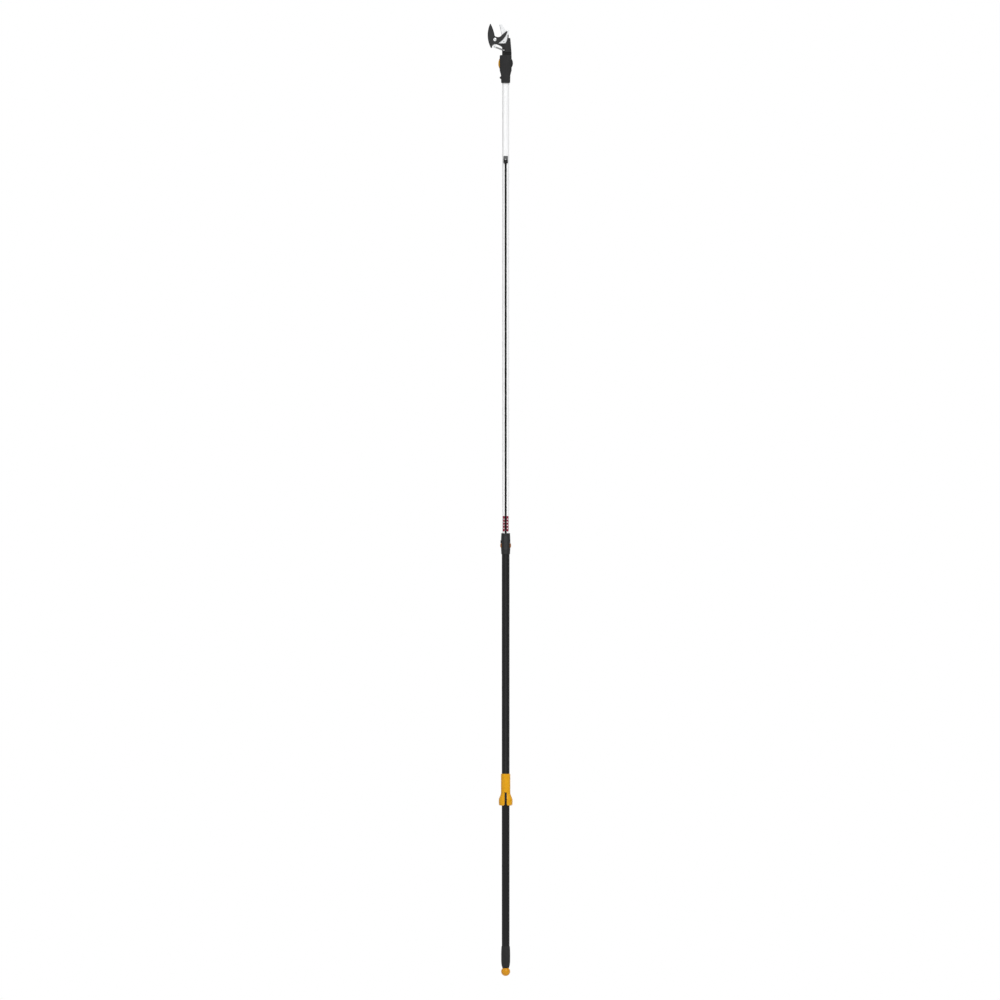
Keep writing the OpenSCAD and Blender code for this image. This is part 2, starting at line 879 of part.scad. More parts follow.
module tilt_lever() {
    color("#e6872a")
        on_head()
            difference() {
                union() {
                    plate(-lever_half, lever_half)
                        intersection() {
                            polygon(lever_outline());
                            translate([-60, -60])
                                square([60, 73]);
                        }
                    plate(-lever_eye_half, lever_eye_half)
                        union() {
                            polygon(lever_outline());
                            translate(lever_pivot)
                                circle(r = lever_eye_r);
                        }
                }
                pin_y(lever_pivot, lever_pin_r + run_fit, -drill, drill);
                for (i = [5:10])
                    pin_y(lever_back()[i], lever_rib_r, -drill, drill);
            }
}

module lever_pin() {
    color("#b9bcc0")
        on_head()
            pin_y(lever_pivot, lever_pin_r, -tongue_half, tongue_half);
}

module strap_pulley() {
    color("#d8d8d4")
        on_head()
            translate([pulley_at[0], 0, pulley_at[1]])
                rotate([90, 0, 0])
                    difference() {
                        rotate_extrude()
                            polygon([
                                [pulley_pin_r + run_fit, -pulley_half], [pulley_flange_r, -pulley_half],
                                [pulley_r, -pulley_half + 0.6], [pulley_r, pulley_half - 0.6],
                                [pulley_flange_r, pulley_half], [pulley_pin_r + run_fit, pulley_half]
                            ]);
                        for (a = [0:90:270])
                            rotate(a)
                                translate([(pulley_pin_r + pulley_r)/2 + 0.1, 0, -strap_w])
                                    cylinder(r = 0.7, h = 2*strap_w);
                    }
}

module pulley_pin() {
    color("#b9bcc0")
        on_head()
            pin_y(pulley_at, pulley_pin_r, -tongue_half + 1.2, tongue_half - 1.2);
}

// Cutting head

function hook_outline() = concat(
    arc3([-62.9, 65.8], [-75.4, 116], [-65.8, 164], 16),
    arc3([-65.3, 165], [-63.8, 165.4], [-62.5, 164.4], 3),
    arc3([-62, 163.4], [-51.9, 139.4], [-46, 116.5], 8),
    arc3([-45.3, 114.6], [-33, 109.6], [-21, 113.6], 10),
    arc3([-20.1, 114], [-7.5, 126], [4.6, 135], 8),
    arc3([5.4, 135.2], [7, 134], [7.1, 131.8], 3),
    arc3([6.6, 130.2], [-8.6, 102.6], [-30.6, 84.6], 12),
    [[-26, 83.4], [16, 83.4], [16, 64.8], [-12.8, 64.8]],
    arc3([-13.8, 65.8], [-29, 75.6], [-46.3, 80.5], 8),
    arc3([-47.3, 80.4], [-53.6, 75.4], [-57.4, 65.4], 6),
    arc3([-58, 64.6], [-60.6, 63.6], [-62.2, 64.6], 3)
);

module hook_plate() {
    color("#3f4042")
        on_head()
            difference() {
                plate(-hook_half, hook_half)
                    polygon(hook_outline());
                pin_y(pivot, pivot_r + seat_fit, -drill, drill);
                for (at = arm_screw_at)
                    pin_y(at, arm_screw_r + seat_fit, -drill, drill);
            }
}

module pivot_bolt() {
    color("#d4d6d8")
        on_head() {
            pin_y(pivot, pivot_r, -hook_half - pivot_head_h/2, spacer_end_y + nut_h + 1);
            pin_y(pivot, pivot_head_r, -hook_half - pivot_head_h, -hook_half);
        }
}

module pivot_spacer() {
    color("#8d8f92")
        on_head()
            difference() {
                union() {
                    pin_y(pivot, spacer_r, link_y0, spacer_end_y);
                    pin_y(pivot, spacer_flange_r, spacer_end_y - 1, spacer_end_y);
                }
                pin_y(pivot, pivot_r + seat_fit, -drill, drill);
            }
}

module pivot_nut() {
    color("#8d8f92")
        on_head()
            difference() {
                translate([pivot[0], spacer_end_y + nut_h, pivot[1]])
                    rotate([90, 0, 0])
                        cylinder(r = nut_r, h = nut_h, $fn = 6);
                pin_y(pivot, pivot_r + seat_fit, -drill, drill);
            }
}

function blade_outline() = concat(
    arc3([-25.6, 161], [-21.6, 164], [-16.4, 163], 4),
    arc3([-15.4, 162], [-7.2, 150.5], [-1.3, 139.4], 6),
    [[13.5, 138.4]],
    arc3([15, 137.4], [13.6, 118], [9, 98], 8),
    arc3([8.4, 96], [4, 84], [-6, 78.6], 6),
    arc3([-8, 78.2], [-24, 79.4], [-36, 84], 6),
    [tail + [tail_r, 11]],
    arc3(tail + [tail_r, 0], tail - [0, tail_r], tail - [tail_r, 0], 8),
    [[-53, 88.5]],
    arc3([-56, 92], [-57, 103], [-50, 111], 6),
    arc3([-45, 112], [-34, 106], [-25, 108], 6),
    arc3([-21, 111], [-18.2, 117], [-18.4, 122], 5),
    arc3([-18.6, 124], [-22.4, 143], [-26.2, 159], 6)
);

module blade() {
    color("#dfe1e3")
        on_head()
            difference() {
                plate(blade_y0, blade_y1)
                    polygon(blade_outline());
                translate([-27.4, blade_y1, 164])
                    rotate([0, 12.2, 0])
                        rotate([0, 0, 28])
                            translate([-12, -0.6, -70])
                                cube([12, 12, 140]);
                pin_y(pivot, pivot_r + run_fit, -drill, drill);
                pin_y(tail, tail_pin_r + seat_fit, -drill, drill);
                pin_y(spring_pin_at, spring_pin_r + seat_fit, -drill, drill);
            }
}

module spring_pin() {
    color("#c9ccd0")
        on_head()
            pin_y(spring_pin_at, spring_pin_r, blade_y0, link_y1 + 4);
}

module tail_pin() {
    color("#c9ccd0")
        on_head() {
            pin_y(tail, tail_pin_r, blade_y0, link_y1 + 1.2);
            pin_y(tail, tail_head_r, link_y1 + 0.3, link_y1 + 1.8);
        }
}

module pull_link() {
    slope = atan2(link_end[1] - tail[1], link_end[0] - tail[0]);
    color("#85878a")
        on_head()
            difference() {
                plate(link_y0, link_y1)
                    union() {
                        translate(tail)
                            circle(r = link_half + 1);
                        translate(link_end)
                            circle(r = link_half);
                        translate(tail)
                            rotate(slope)
                                translate([0, -link_half])
                                    square([link_len, 2*link_half]);
                    }
                pin_y(tail, tail_pin_r + run_fit, -drill, drill);
                pin_y(link_end, link_pin_r + seat_fit, -drill, drill);
            }
}

module link_pin() {
    color("#e3e4e2")
        on_head()
            pin_y(link_end, link_pin_r, -strap_half, link_y1);
}

// Return spring behind the blade, wound round the pivot spacer
spring_wire = 0.8;
spring_coil_r = 8;
spring_turns = 3;
spring_pitch = 2.1;
spring_y0 = link_y0 + spring_wire + 0.1;
spring_rings = 12;
spring_sides = 6;
spring_start = -12;
spring_leg_points = 6;
spring_anchor = [-15.2, 71];

function spring_coil() = [
    for (i = [0:spring_turns*spring_rings])
        let (a = spring_start - 360*i/spring_rings)
        [
            pivot[0] + spring_coil_r*cos(a),
            spring_y0 + spring_pitch*i/spring_rings,
            pivot[1] + spring_coil_r*sin(a)
        ]
];

// Points on a straight leg, from a to just before b
function leg(a, b) = [for (i = [0:spring_leg_points - 1]) a + (b - a)*i/spring_leg_points];

function spring_route() =
    let (coil = spring_coil())
    let (first = coil[0])
    let (last = coil[len(coil) - 1])
    let (pin_x = spring_pin_at[0] - 4)
    let (pin_z = spring_pin_at[1] + spring_pin_r + spring_wire + 0.2)
    let (anchor = [spring_anchor[0], last[1], spring_anchor[1]])
    let (back = leg(anchor, last))
    concat(leg([pin_x, first[1], pin_z], first), coil, [for (i = [len(back) - 1:-1:0]) back[i]]);

// Least gap between two stretches of the wire that are half a turn or more apart
function spring_gap() =
    let (route = spring_route())
    let (apart = spring_rings/2)
    min([
        for (i = [0:len(route) - 1])
            for (j = [i + apart:1:len(route) - 1])
                norm(route[j] - route[i])
    ]) - 2*spring_wire;

// Tube of round section along a route, as one closed polyhedron
module tube_along(route, r, sides) {
    last = len(route) - 1;
    function ahead(i) = route[min(i + 1, last)] - route[max(i - 1, 0)];
    function unit(v) = v/norm(v);
    rings = [
        for (i = [0:last])
            let (t = unit(ahead(i)))
            let (u = unit(cross(t, [0, 1, 0])))
            let (v = cross(t, u))
            for (k = [0:sides - 1])
                route[i] + r*(cos(360*k/sides)*u + sin(360*k/sides)*v)
    ];
    walls = [
        for (i = [0:last - 1])
            for (k = [0:sides - 1])
                let (a = i*sides + k)
                let (b = i*sides + (k + 1)%sides)
                each [[a, b, a + sides], [b, b + sides, a + sides]]
    ];
    foot = [for (k = [1:sides - 2]) [0, k + 1, k]];
    head = [for (k = [1:sides - 2]) [last*sides, last*sides + k, last*sides + k + 1]];
    polyhedron(rings, concat(walls, foot, head));
}

module return_spring() {
    color("#b9bcc0")
        on_head()
            tube_along(spring_route(), spring_wire, spring_sides);
}

// Slider handle

// The flare eases from the bulb's belly into the sleeve
function slider_flare(steps) = [
    for (i = [1:steps])
        let (ease = (1 + cos(180*i/steps))/2)
        [slider_r + (slider_bulb_r - slider_r)*ease, slider_belly + (slider_bulb_h - slider_belly)*i/steps]
];

function slider_profile() = concat(
    [[0, 0]],
    arc3([slider_bulb_r - 5, 0], [slider_bulb_r - 1.9, 1.9], [slider_bulb_r - 0.6, 6], 6),
    arc3([slider_bulb_r - 0.4, 7], [slider_bulb_r - 0.1, 13], [slider_bulb_r, slider_belly], 4),
    slider_flare(12),
    arc3([slider_r, slider_len - 2], [slider_r - 0.6, slider_len - 0.6], [slider_r - 2, slider_len], 4),
    [[0, slider_len]]
);

slider_screw_r = 1.6;
slider_head_r = 3;
slider_screw_at = [for (side = [-1, 1]) [side*(slider_r + 2.4), slider_z0 + 24]];

module slider_body() {
    difference() {
        translate([0, 0, slider_z0])
            rotate_extrude($fn = 96)
                polygon(slider_profile());
        translate([0, 0, slider_z0 - eps])
            cylinder(r = liner_r + seat_fit, h = slider_len + 2*eps);
        translate([-slider_slot_w/2, -slider_bulb_r - eps, slider_z0 - eps])
            cube([slider_slot_w, slider_bulb_r, slider_bulb_h + 2]);
        plate(-slider_bulb_r - eps, 0)
            polygon([
                [-slider_notch_w/2, slider_z0 - 0.01], [slider_notch_w/2, slider_z0 - 0.01],
                [0, slider_z0 + slider_notch_h]
            ]);
        for (at = slider_screw_at) {
            pin_y(at, slider_screw_r + seat_fit, -8, slider_bulb_r);
            pin_y(at, slider_head_r + seat_fit, 10, slider_bulb_r);
        }
    }
}

module slider_front() {
    color("#e0a125")
        intersection() {
            slider_body();
            half(-1, slider_z0 - 5, slider_len + 10);
        }
}

module slider_rear() {
    color("#e0a125")
        intersection() {
            slider_body();
            half(1, slider_z0 - 5, slider_len + 10);
        }
}

module slider_screws() {
    color("#8d8f92")
        for (at = slider_screw_at) {
            pin_y(at, slider_screw_r, -7.5, 11);
            pin_y(at, slider_head_r, 10.1, 13);
        }
}

module slider_liner() {
    color("#1c1c1d")
        difference() {
            translate([0, 0, slider_z0 + 2])
                cylinder(r = liner_r, h = slider_len - 4);
            translate([0, 0, slider_z0])
                cylinder(r = liner_ir, h = slider_len);
            translate([-groove_w/2, -2*liner_r, slider_z0])
                cube([groove_w, 2*liner_r, slider_len]);
        }
}

module strap_clamp() {
    color("#39393b")
        translate([-slider_slot_w/2 + 0.2, -strap_low_y - strap_low_t - clamp_t, slider_z0 + 16])
            cube([slider_slot_w - 0.4, clamp_t, clamp_len]);
}

// Lower stretch of strap, from the slider's clamp up into the collar
module strap_lower() {
    z0 = slider_z0 + 12;
    color("#1d1d1e")
        translate([-strap_half, -strap_low_y - strap_low_t, z0])
            cube([strap_w, strap_low_t, collar_z0 + 10 - z0]);
}

// Pull ball

module ball() {
    color("#dc9a28")
        difference() {
            translate([0, 0, ball_z])
                sphere(r = ball_r);
            translate([0, 0, ball_z + ball_r - ball_cap])
                cylinder(r = ball_r, h = ball_r);
            translate([0, 0, ball_z])
                cylinder(r = cord_r + seat_fit, h = 2*ball_r);
        }
}

module ball_ferrule() {
    color("#1c1c1d")
        difference() {
            translate([0, 0, ball_z + ball_r - ball_cap])
                cylinder(r = ferrule_r, h = ferrule_h);
            translate([0, 0, ball_z])
                cylinder(r = cord_r + seat_fit, h = 2*ball_r);
        }
}

module pull_cord() {
    color("#1d1d1e")
        translate([0, 0, ball_z])
            cylinder(r = cord_r, h = slider_z0 - ball_z);
}

echo(spring_gap_mm = spring_gap());

lower_tube();
collar_front();
collar_rear();
collar_screws();
collar_bush();
button_spring();
button_left();
button_right();
end_grip();
end_plug();
upper_tube();
foot_bush();
strap();
strap_inner();
strap_guide();
guide_screw();
housing_front();
housing_rear();
housing_screws();
trunnions();
arm_front();
arm_rear();
arm_screws();
tilt_lever();
lever_pin();
strap_pulley();
pulley_pin();
hook_plate();
pivot_bolt();
pivot_spacer();
pivot_nut();
return_spring();
blade();
spring_pin();
tail_pin();
pull_link();
link_pin();
slider_front();
slider_rear();
slider_screws();
slider_liner();
strap_clamp();
strap_lower();
ball();
ball_ferrule();
pull_cord();
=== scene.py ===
import json
import math

import bmesh
import bpy
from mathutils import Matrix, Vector


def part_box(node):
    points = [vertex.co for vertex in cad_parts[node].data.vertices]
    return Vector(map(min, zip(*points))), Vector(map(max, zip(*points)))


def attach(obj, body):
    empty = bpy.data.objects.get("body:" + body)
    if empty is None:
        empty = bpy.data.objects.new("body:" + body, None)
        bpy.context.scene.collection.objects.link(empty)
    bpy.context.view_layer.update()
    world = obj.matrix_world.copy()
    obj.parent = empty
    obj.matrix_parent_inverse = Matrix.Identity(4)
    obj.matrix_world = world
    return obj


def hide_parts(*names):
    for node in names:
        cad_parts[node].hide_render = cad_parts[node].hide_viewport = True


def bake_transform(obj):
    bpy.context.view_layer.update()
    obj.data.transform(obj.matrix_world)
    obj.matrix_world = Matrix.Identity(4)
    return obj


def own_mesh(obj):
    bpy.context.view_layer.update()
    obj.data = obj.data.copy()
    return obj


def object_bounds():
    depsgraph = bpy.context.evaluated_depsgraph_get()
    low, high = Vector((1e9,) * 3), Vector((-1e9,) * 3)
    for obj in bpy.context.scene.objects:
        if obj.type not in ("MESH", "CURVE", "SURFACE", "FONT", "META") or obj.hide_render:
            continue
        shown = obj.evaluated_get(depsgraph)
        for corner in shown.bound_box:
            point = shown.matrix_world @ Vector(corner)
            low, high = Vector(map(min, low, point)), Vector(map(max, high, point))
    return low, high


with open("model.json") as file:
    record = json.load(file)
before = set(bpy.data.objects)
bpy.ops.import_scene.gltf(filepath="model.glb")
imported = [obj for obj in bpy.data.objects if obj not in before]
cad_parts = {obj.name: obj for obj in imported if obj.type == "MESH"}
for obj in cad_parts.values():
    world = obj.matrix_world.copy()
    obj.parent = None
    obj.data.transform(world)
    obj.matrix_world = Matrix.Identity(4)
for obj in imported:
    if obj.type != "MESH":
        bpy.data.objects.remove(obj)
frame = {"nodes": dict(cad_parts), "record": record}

cad_lo, cad_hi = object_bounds()
scene = bpy.context.scene

MM = 0.001
TILT_Z = 3.743  # height of the axis that the head tilts on


# Camera, light and floor

VIEW_WIDTH = 4.19
VIEW_DISTANCE = 40.0
VIEW_X, VIEW_Z = -0.0237, 1.913
SENSOR = 36.0
CLIP_START, CLIP_END = 0.5, 200.0
WHITE = (1, 1, 1, 1)
WORLD_LEVEL = 0.3
SUNS = (  # name, azimuth, elevation, strength, angle across
    ("key", 14, 42, 2.45, 35),
    ("fill", -42, 15, 0.3, 60),
    ("back", 180, 35, 1.7, 60),
)
FLOOR_HALF = 3.0
FLOOR_DROP = 0.305  # the pull ball comes down 0.30 m, and the floor lies clear of it
FLOOR_COLOUR = (0.86, 0.86, 0.86, 1)
FLOOR_ROUGHNESS = 0.9
FLOOR_SPECULAR = 0.1
FLOOR_LIFT = 0.35


def seen_or_lit(tree, lit, seen):
    """One value for what is seen straight on, in gloss or through glass, and one for all other light."""
    path = tree.nodes.new("ShaderNodeLightPath")
    ray = path.outputs["Is Camera Ray"]
    for kind in ("Is Glossy Ray", "Is Transmission Ray"):
        either = tree.nodes.new("ShaderNodeMath")
        either.operation = "MAXIMUM"
        tree.links.new(ray, either.inputs[0])
        tree.links.new(path.outputs[kind], either.inputs[1])
        ray = either.outputs[0]
    value = tree.nodes.new("ShaderNodeMapRange")
    value.inputs["To Min"].default_value = lit
    value.inputs["To Max"].default_value = seen
    tree.links.new(ray, value.inputs["Value"])
    return value.outputs["Result"]


def make_camera():
    data = bpy.data.cameras.new("camera")
    data.sensor_width = SENSOR
    data.lens = SENSOR * VIEW_DISTANCE / VIEW_WIDTH
    data.clip_start, data.clip_end = CLIP_START, CLIP_END
    camera = bpy.data.objects.new("camera", data)
    camera.location = (VIEW_X, -VIEW_DISTANCE, VIEW_Z)
    camera.rotation_euler = (math.radians(90), 0, 0)
    scene.collection.objects.link(camera)
    scene.camera = camera


def make_sun(name, azimuth, elevation, strength, angle):
    data = bpy.data.lights.new(name, "SUN")
    data.energy = strength
    data.angle = math.radians(angle)
    lamp = bpy.data.objects.new(name, data)
    a, e = math.radians(azimuth), math.radians(elevation)
    towards = Vector((math.sin(a) * math.cos(e), -math.cos(a) * math.cos(e), math.sin(e)))
    lamp.rotation_mode = "QUATERNION"
    lamp.rotation_quaternion = towards.to_track_quat("Z", "Y")
    scene.collection.objects.link(lamp)


def make_world():
    world = bpy.data.worlds.new("studio")
    world.use_nodes = True
    scene.world = world
    tree = world.node_tree
    background = tree.nodes["Background"]
    background.inputs["Color"].default_value = WHITE
    tree.links.new(seen_or_lit(tree, WORLD_LEVEL, 1.0), background.inputs["Strength"])


def make_floor():
    bm = bmesh.new()
    bmesh.ops.create_grid(bm, x_segments=1, y_segments=1, size=FLOOR_HALF)
    bmesh.ops.translate(bm, verts=bm.verts, vec=(0, 0, cad_lo.z - FLOOR_DROP))
    floor = add_mesh("floor", bm)
    material = bpy.data.materials.new("floor")
    material.use_nodes = True
    tree = material.node_tree
    shader = tree.nodes["Principled BSDF"]
    shader.inputs["Base Color"].default_value = FLOOR_COLOUR
    shader.inputs["Roughness"].default_value = FLOOR_ROUGHNESS
    shader.inputs["Specular IOR Level"].default_value = FLOOR_SPECULAR
    shader.inputs["Emission Color"].default_value = WHITE
    tree.links.new(seen_or_lit(tree, 0.0, FLOOR_LIFT), shader.inputs["Emission Strength"])
    floor.data.materials.append(material)


# Meshes

SHARP_ANGLE = 35
CIRCLE_STEPS = 48
WIRE_STEPS = 12
ROUTE_PITCH = 4 * MM


def add_mesh(name, bm, smooth=False):
    data = bpy.data.meshes.new(name)
    bmesh.ops.recalc_face_normals(bm, faces=bm.faces)
    bm.to_mesh(data)
    bm.free()
    if smooth:
        for face in data.polygons:
            face.use_smooth = True
    piece = bpy.data.objects.new(name, data)
    scene.collection.objects.link(piece)
    return piece


def sharp_mesh(name, bm):
    piece = add_mesh(name, bm, smooth=True)
    piece.data.set_sharp_from_angle(angle=math.radians(SHARP_ANGLE))
    return piece


def skin(bm, rings, uv=None, girth=(), runs=()):
    """Faces between rings of points, with UVs from the distances round and along them."""
    for i, (low, high) in enumerate(zip(rings, rings[1:])):
        for k in range(len(low)):
            n = (k + 1) % len(low)
            face = bm.faces.new((low[k], low[n], high[n], high[k]))
            if uv is None:
                continue
            places = ((k, i), (k + 1, i), (k + 1, i + 1), (k, i + 1))
            for loop, (g, r) in zip(face.loops, places):
                loop[uv].uv = (girth[g], runs[r])


def cap(bm, rings):
    bm.faces.new(rings[0])
    bm.faces.new(rings[-1])


def sweep(name, route, section, across=(1, 0, 0)):
    """A closed tube: the section's points (across, out) are carried along the route, with UVs in metres."""
    side = Vector(across)
    bm = bmesh.new()
    uv = bm.loops.layers.uv.new("UVMap")
    rings, runs, run = [], [], 0.0
    for i, p in enumerate(route):
        before, after = route[max(i - 1, 0)], route[min(i + 1, len(route) - 1)]
        out = side.cross((after - before).normalized()).normalized()
        run += (p - route[i - 1]).length if i else 0.0
        runs.append(run)
        rings.append([bm.verts.new(p + side * a + out * b) for a, b in section])
    girth = [0.0]
    for k, point in enumerate(section):
        step = Vector(section[(k + 1) % len(section)]) - Vector(point)
        girth.append(girth[-1] + step.length)
    skin(bm, rings, uv, girth, runs)
    cap(bm, rings)
    return add_mesh(name, bm, smooth=True)


def straight(start, end, pitch):
    a, b = Vector(start), Vector(end)
    count = max(2, round((b - a).length / pitch))
    return [a.lerp(b, i / count) for i in range(count + 1)]


def web_section(width, thickness, steps=5):
    """Flat webbing with round selvedges that stand a little proud of its middle."""
    half, r = width / 2, thickness / 2
    middle_share, middle_places = 0.9, (0.55, 0.0, -0.55)
    points = []
    for side, start in ((1, -90), (-1, 90)):
        for i in range(steps + 1):
            a = math.radians(start + 180 * i / steps)
            points.append((side * (half - r) + r * math.cos(a), r * math.sin(a)))
        for share in middle_places:
            points.append((side * share * (half - r), side * r * middle_share))
    return points


def round_section(radius):
    turns = [2 * math.pi * i / WIRE_STEPS for i in range(WIRE_STEPS)]
    return [(radius * math.cos(a), radius * math.sin(a)) for a in turns]


def circle(radius, lobes=0, swing=0.0):
    """Angles and radii round a circle, or round a star with lobes."""
    turns = [2 * math.pi * i / CIRCLE_STEPS for i in range(CIRCLE_STEPS)]
    return [(a, radius * (1 + swing * math.cos(lobes * a))) for a in turns]


def ring_stack(bm, rings, place):
    """A closed solid from stacked circles, each with its height, put in place by a function."""
    made = [
        [bm.verts.new(place(r * math.cos(a), r * math.sin(a), h)) for a, r in ring]
        for ring, h in rings
    ]
    skin(bm, made)
    for ring in (made[0], made[-1]):
        middle = bm.verts.new(sum((v.co for v in ring), Vector()) / len(ring))
        for k in range(len(ring)):
            bm.faces.new((ring[k], ring[(k + 1) % len(ring)], middle))


# Materials

SUBSURFACE_RADIUS = (0.004, 0.002, 0.001)
PLASTIC_CORNER = 0.5 * MM
STEEL_CORNER = 0.35 * MM
FLOW_SCALE, FLOW_STRETCH = 60, (1, 1, 0.35)
# Painted shade for the bottoms of the tube's flutes.
GROOVE_SHADE = (0.0015, 0.0015, 0.0015)
RUBBED_BLACK = (0.07, 0.07, 0.07)
RUBBED_RUBBER = (0.04, 0.04, 0.04)
# Paler colour painted on steel corners as a highlight.
BRIGHT_CORNER = (0.88, 0.88, 0.88)
YARN_ACROSS, YARN_ALONG = 0.8 * MM, 0.9 * MM
CORD_DIAMETER, CORD_PITCH, CORD_STRANDS = 4 * MM, 6 * MM, 4


class Look:
    """One procedural material: a shader, and helpers that feed its sockets."""

    def __init__(self, name, metallic=0.0, specular=0.5, sheen=0.0, subsurface=0.0):
        self.material = bpy.data.materials.new(name)
        self.material.use_nodes = True
        self.tree = self.material.node_tree
        self.shader = self.tree.nodes["Principled BSDF"]
        self.shader.inputs["Metallic"].default_value = metallic
        self.shader.inputs["Specular IOR Level"].default_value = specular
        self.shader.inputs["Sheen Weight"].default_value = sheen
        self.shader.inputs["Subsurface Weight"].default_value = subsurface
        self.shader.inputs["Subsurface Radius"].default_value = SUBSURFACE_RADIUS
        self.coords = self.node("ShaderNodeTexCoord")

    def node(self, kind, **values):
        made = self.tree.nodes.new(kind)
        for key, value in values.items():
            setattr(made, key, value)
        return made

    def link(self, source, target):
        self.tree.links.new(source, target)

    def split(self, coords="Object"):
        """The coordinates of a point, by the name of their axis."""
        made = self.node("ShaderNodeSeparateXYZ")
        self.link(self.coords.outputs[coords], made.inputs[0])
        return made.outputs

    def noise(self, scale, stretch=(1, 1, 1), detail=4.0, rough=0.55, coords="Object"):
        place = self.node("ShaderNodeMapping")
        place.inputs["Scale"].default_value = stretch
        self.link(self.coords.outputs[coords], place.inputs["Vector"])
        grain = self.node("ShaderNodeTexNoise")
        grain.inputs["Scale"].default_value = scale
        grain.inputs["Detail"].default_value = detail
        grain.inputs["Roughness"].default_value = rough
        self.link(place.outputs["Vector"], grain.inputs["Vector"])
        return grain.outputs["Fac"]

    def math(self, operation, a, b=0.0, c=0.0):
        made = self.node("ShaderNodeMath", operation=operation)
        for socket, value in zip(made.inputs, (a, b, c)):
            if isinstance(value, (int, float)):
                socket.default_value = value
            else:
                self.link(value, socket)
        return made.outputs[0]

    def blend(self, a, b, share):
        """The share of a, and the rest of b."""
        return self.math("MULTIPLY_ADD", a, share, self.math("MULTIPLY", b, 1 - share))

    def wander(self, value, scale, size):
        """The value, moved to and fro so that a border drawn from it isn't straight."""
        drift = self.math("SUBTRACT", self.noise(scale), 0.5)
        return self.math("ADD", value, self.math("MULTIPLY", drift, size))

    def ramp(self, factor, low, high, start=0.3, stop=0.7):
        made = self.node("ShaderNodeValToRGB")
        for element, place, colour in zip(made.color_ramp.elements, (start, stop), (low, high)):
            element.position = place
            element.color = (*colour, 1)
        self.link(factor, made.inputs["Fac"])
        return made.outputs["Color"]

    def spread(self, factor, low, high, start=0.25, stop=0.75):
        made = self.node("ShaderNodeMapRange")
        ends = (("From Min", start), ("From Max", stop), ("To Min", low), ("To Max", high))
        for key, value in ends:
            made.inputs[key].default_value = value
        self.link(factor, made.inputs["Value"])
        return made.outputs["Result"]

    def mix(self, factor, a, b):
        made = self.node("ShaderNodeMix", data_type="RGBA")
        self.link(factor, made.inputs["Factor"])
        for key, value in ((6, a), (7, b)):
            if isinstance(value, tuple):
                made.inputs[key].default_value = (*value, 1)
            else:
                self.link(value, made.inputs[key])
        return made.outputs[2]

    def edges(self, radius):
        """1 along the corners of the solid and 0 on its faces, with a normal that rounds them."""
        bevel = self.node("ShaderNodeBevel", samples=4)
        bevel.inputs["Radius"].default_value = radius
        plain = self.node("ShaderNodeNewGeometry")
        dot = self.node("ShaderNodeVectorMath", operation="DOT_PRODUCT")
        self.link(bevel.outputs["Normal"], dot.inputs[0])
        self.link(plain.outputs["Normal"], dot.inputs[1])
        turned = self.math("SUBTRACT", 1.0, dot.outputs["Value"])
        return self.spread(turned, 0.0, 1.0, 0.02, 0.2), bevel.outputs["Normal"]

    def bump(self, height, depth, strength=0.6, normal=None):
        made = self.node("ShaderNodeBump")
        made.inputs["Strength"].default_value = strength
        made.inputs["Distance"].default_value = depth
        self.link(height, made.inputs["Height"])
        if normal is not None:
            self.link(normal, made.inputs["Normal"])
        self.link(made.outputs["Normal"], self.shader.inputs["Normal"])

    def colour(self, socket):
        self.link(socket, self.shader.inputs["Base Color"])

    def roughness(self, socket):
        self.link(socket, self.shader.inputs["Roughness"])


def moulded(look, body, worn, rough, grain=1500, depth=0.06 * MM, scuff=0.3):
    """Finishes moulded plastic: eroded grain, faint scuffs along it and corners rubbed a little paler."""
    edge, normal = look.edges(PLASTIC_CORNER)
    fine = look.noise(grain, detail=3.0, rough=0.6)
    rub = look.math("MULTIPLY", edge, look.spread(look.noise(180), 0.0, 0.6, 0.4, 0.7))
    drag = look.noise(420, (1, 1, 0.06), detail=6.0, rough=0.65)
    wear = look.math("MAXIMUM", rub, look.spread(drag, 0.0, scuff, 0.6, 0.72))
    look.colour(look.mix(wear, body, worn))
    look.roughness(look.spread(fine, rough - 0.1, rough + 0.12))
    look.bump(fine, depth, 0.7, normal)
    return look.material


def plastic(name, low, high, worn, rough, grain=1500, depth=0.06 * MM, scuff=0.3, **shader):
    """Moulded plastic with faint flow marks."""
    look = Look(name, **shader)
    flow = look.noise(FLOW_SCALE, FLOW_STRETCH)
    return moulded(look, look.ramp(flow, low, high), worn, rough, grain, depth, scuff)


def steel(name, low, high, worn, rough, stretch=(1, 1, 1), metallic=1.0, grain=900, specular=0.5):
    """Steel with the lines of its grinding, and corners painted paler, as wear and as a painted highlight
    where they catch the light.
    """
    look = Look(name, metallic=metallic, specular=specular)
    edge, normal = look.edges(STEEL_CORNER)
    lines = look.noise(grain, stretch, detail=3.0)
    body = look.ramp(look.blend(lines, look.noise(45), 0.5), low, high)
    look.colour(look.mix(look.math("MULTIPLY", edge, 0.6), body, worn))
    look.roughness(look.spread(lines, rough - 0.07, rough + 0.09))
    look.bump(lines, 0.02 * MM, 0.4, normal)
    return look.material


